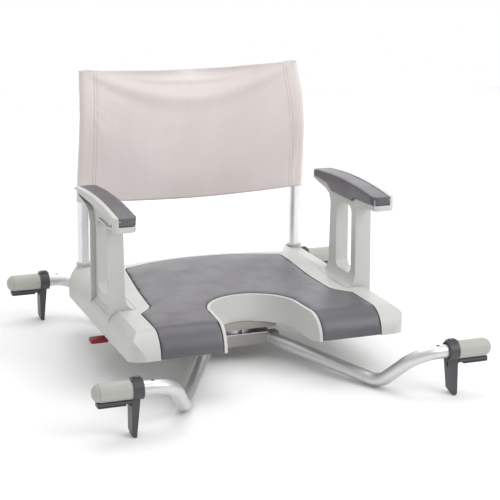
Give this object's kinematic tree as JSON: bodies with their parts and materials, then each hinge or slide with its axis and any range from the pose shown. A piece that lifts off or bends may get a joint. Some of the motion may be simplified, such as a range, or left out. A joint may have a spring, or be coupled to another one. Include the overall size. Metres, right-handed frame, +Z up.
{
  "type": "swivelling bath seat",
  "caption": "Swivelling seat that rests across a bath, with a hygiene cut-out, armrests, fabric backrest and hooked aluminium arms.",
  "frame": {"origin": "on the swivel axis, level with the tips of the four rim hooks; the whole box's bottom centre is 1.75 mm from it, towards +Y", "axes": "+Z up; the sitter faces -Y; +X to the right seen from the front"},
  "size_m": [0.7394, 0.7447, 0.534],
  "materials": {
    "aluminium_satin": "satin anodised",
    "painted_grey": "satin",
    "steel": "zinc plated",
    "bush_plastic": "matt",
    "shell_plastic": "fine matt texture",
    "pad_foam": "satin foam skin",
    "sleeve_plastic": "matt",
    "hook_plastic": "matt",
    "rim_rubber": "matt",
    "fabric": "fine mesh weave",
    "lever_red": "satin gloss"
  },
  "bodies": {
    "frame": {"crossbar_front": "painted_grey", "crossbar_rear": "painted_grey", "arm_front_left": "aluminium_satin", "arm_front_right": "aluminium_satin", "arm_rear_left": "aluminium_satin", "arm_rear_right": "aluminium_satin", "pivot_plate": "steel", "plate_screws": "steel", "index_ring": "steel", "pivot_pin": "steel", "pivot_washer": "steel", "pivot_nut": "steel"},
    "seat": {"upper_plate": "painted_grey", "pivot_bush": "bush_plastic", "seat_screws": "steel", "seat_shell": "shell_plastic", "seat_pad": "pad_foam", "armrest_left": "shell_plastic", "armrest_right": "shell_plastic", "arm_pad_left": "pad_foam", "arm_pad_right": "pad_foam", "armrest_bolts": "steel", "back_socket_left": "shell_plastic", "back_socket_right": "shell_plastic", "lock_guides": "shell_plastic"},
    "swivel_lock": {"lock_bar": "steel", "lock_grip": "lever_red"},
    "backrest": {"back_post_left": "aluminium_satin", "back_post_right": "aluminium_satin", "back_sling": "fabric"},
    "end_front_left": {"rim_sleeve_front_left": "sleeve_plastic", "end_cap_front_left": "sleeve_plastic", "rim_hook_front_left": "hook_plastic", "rim_pad_front_left": "rim_rubber"},
    "button_front_left": {"lock_button_front_left": "hook_plastic"},
    "end_front_right": {"rim_sleeve_front_right": "sleeve_plastic", "end_cap_front_right": "sleeve_plastic", "rim_hook_front_right": "hook_plastic", "rim_pad_front_right": "rim_rubber"},
    "button_front_right": {"lock_button_front_right": "hook_plastic"},
    "end_rear_left": {"rim_sleeve_rear_left": "sleeve_plastic", "end_cap_rear_left": "sleeve_plastic", "rim_hook_rear_left": "hook_plastic", "rim_pad_rear_left": "rim_rubber"},
    "button_rear_left": {"lock_button_rear_left": "hook_plastic"},
    "end_rear_right": {"rim_sleeve_rear_right": "sleeve_plastic", "end_cap_rear_right": "sleeve_plastic", "rim_hook_rear_right": "hook_plastic", "rim_pad_rear_right": "rim_rubber"},
    "button_rear_right": {"lock_button_rear_right": "hook_plastic"}
  },
  "joints": [
    {"name": "seat_swivel", "type": "hinge", "parent": "frame", "child": "seat", "pos_m": [0, 0, 0.064], "axis": [0, 0, 1], "continuous": true},
    {"name": "lock_pull", "type": "slide", "parent": "seat", "child": "swivel_lock", "axis": [-1, 0, 0], "range_m": [-0.006, 0.004]},
    {"name": "backrest_lift", "type": "slide", "parent": "seat", "child": "backrest", "axis": [0, 0, 1], "range_m": [0, 0.05]},
    {"name": "reach_front_left", "type": "slide", "parent": "frame", "child": "end_front_left", "axis": [-1, 0, 0], "range_m": [-0.0275, 0.0275]},
    {"name": "button_press_front_left", "type": "slide", "parent": "end_front_left", "child": "button_front_left", "axis": [0, 0, -1], "range_m": [0, 0.0035]},
    {"name": "reach_front_right", "type": "slide", "parent": "frame", "child": "end_front_right", "axis": [1, 0, 0], "range_m": [-0.0275, 0.0275]},
    {"name": "button_press_front_right", "type": "slide", "parent": "end_front_right", "child": "button_front_right", "axis": [0, 0, -1], "range_m": [0, 0.0035]},
    {"name": "reach_rear_left", "type": "slide", "parent": "frame", "child": "end_rear_left", "axis": [-1, 0, 0], "range_m": [-0.0275, 0.0275]},
    {"name": "button_press_rear_left", "type": "slide", "parent": "end_rear_left", "child": "button_rear_left", "axis": [0, 0, -1], "range_m": [0, 0.0035]},
    {"name": "reach_rear_right", "type": "slide", "parent": "frame", "child": "end_rear_right", "axis": [1, 0, 0], "range_m": [-0.0275, 0.0275]},
    {"name": "button_press_rear_right", "type": "slide", "parent": "end_rear_right", "child": "button_rear_right", "axis": [0, 0, -1], "range_m": [0, 0.0035]}
  ]
}
